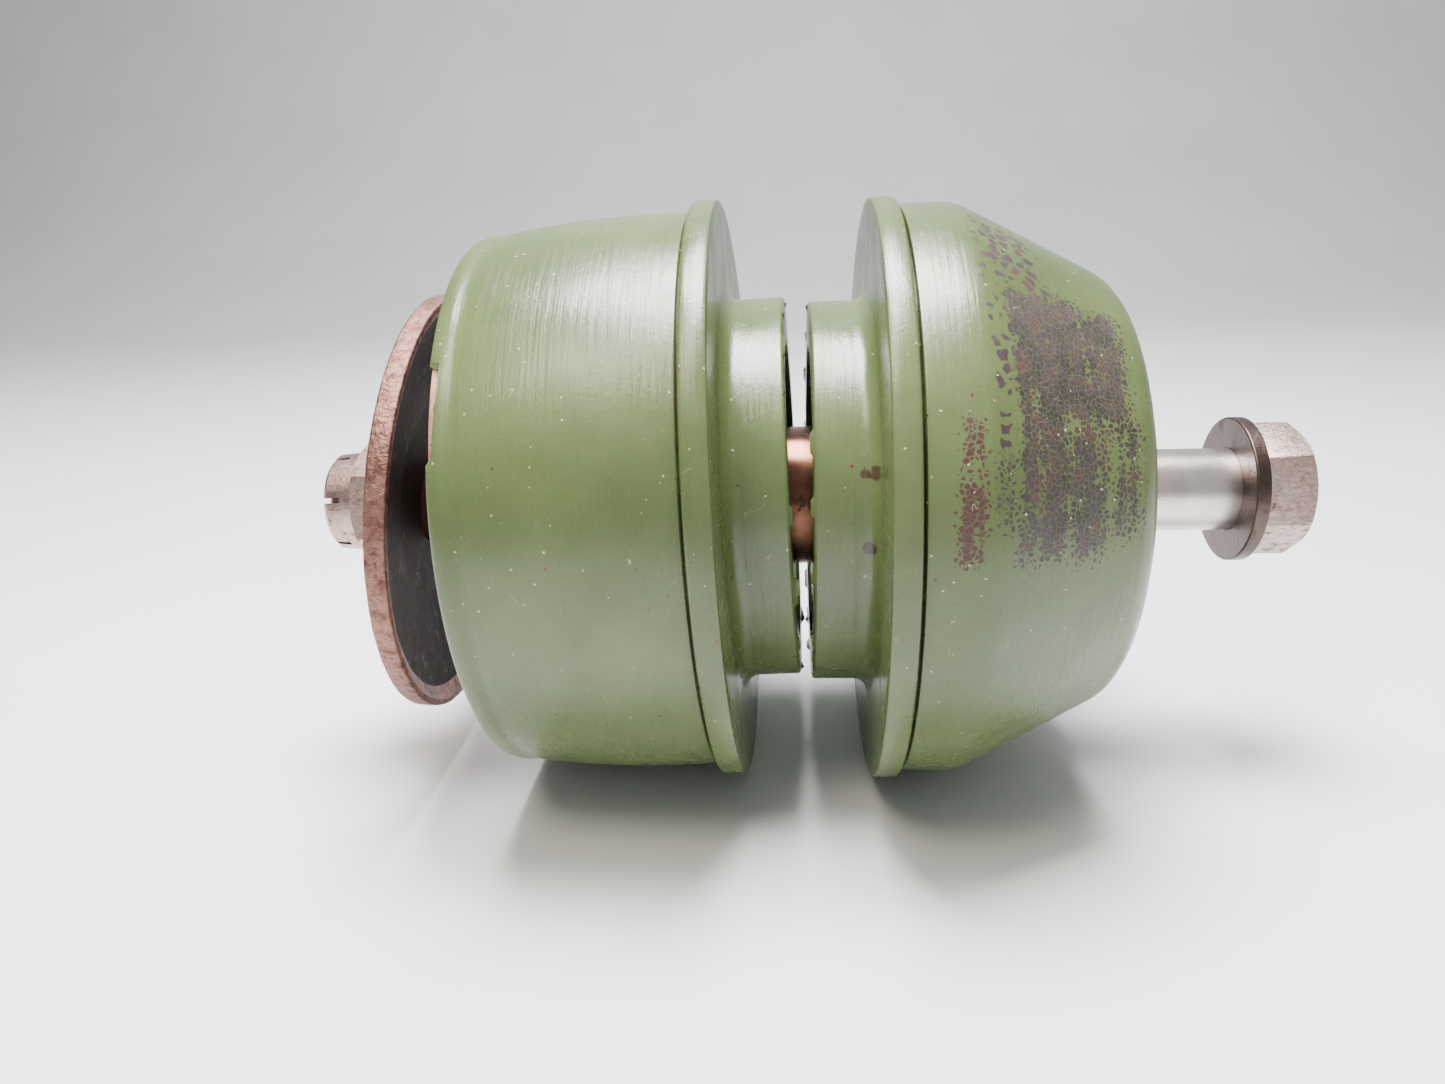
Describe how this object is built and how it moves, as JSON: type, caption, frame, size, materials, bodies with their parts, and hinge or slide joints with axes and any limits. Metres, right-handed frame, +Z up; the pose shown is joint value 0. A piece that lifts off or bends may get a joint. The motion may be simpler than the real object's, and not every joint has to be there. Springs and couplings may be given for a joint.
{
  "type": "diabolo vibration mount",
  "caption": "Diabolo-shaped rubber vibration mount: two flanged elastomer halves face to face on a spacer tube, held by a through-bolt with washers and a locknut.",
  "frame": {"origin": "on the table under the middle of the part, where the two halves meet", "axes": "+X along the bolt from the nut to the bolt head, +Z up from the table the flange rims lie on"},
  "size_m": [0.1316, 0.0775, 0.0777],
  "materials": {
    "green_elastomer": "satin",
    "bonded_steel": "worn",
    "plated_steel": "dull plated",
    "brown_tube": "tarnished",
    "rusted_steel": "rusted"
  },
  "bodies": {
    "left_half": {"left_elastomer": "green_elastomer", "left_outer_plate": "bonded_steel", "left_inner_ring": "bonded_steel"},
    "right_half": {"right_elastomer": "green_elastomer", "right_outer_plate": "bonded_steel", "right_inner_ring": "bonded_steel"},
    "bolt": {"bolt": "plated_steel"},
    "head_washer": {"head_washer": "plated_steel"},
    "spacer_tube": {"spacer_tube": "brown_tube"},
    "dished_washer": {"dished_washer": "rusted_steel"},
    "locknut": {"locknut": "plated_steel"}
  },
  "joints": [
    {"name": "right_half_slide", "type": "slide", "parent": "left_half", "child": "right_half", "axis": [1, 0, 0], "range_m": [0, 0.01]},
    {"name": "bolt_turn", "type": "hinge", "parent": "left_half", "child": "bolt", "pos_m": [0, 0, 0.03821], "axis": [1, 0, 0], "range_deg": [0, 1800]},
    {"name": "locknut_travel", "type": "slide", "parent": "left_half", "child": "locknut", "axis": [-1, 0, 0], "range_m": [0, 0.0064]},
    {"name": "head_washer_slide", "type": "slide", "parent": "bolt", "child": "head_washer", "axis": [-1, 0, 0], "range_m": [0, 0.006]},
    {"name": "spacer_tube_slide", "type": "slide", "parent": "left_half", "child": "spacer_tube", "axis": [1, 0, 0], "range_m": [-0.004, 0.004]},
    {"name": "dished_washer_slide", "type": "slide", "parent": "left_half", "child": "dished_washer", "axis": [1, 0, 0], "range_m": [0, 0.004]}
  ],
  "couplings": [
    {"joint": "locknut_travel", "follows": "bolt_turn", "m_per_rad": 0.00020213}
  ]
}
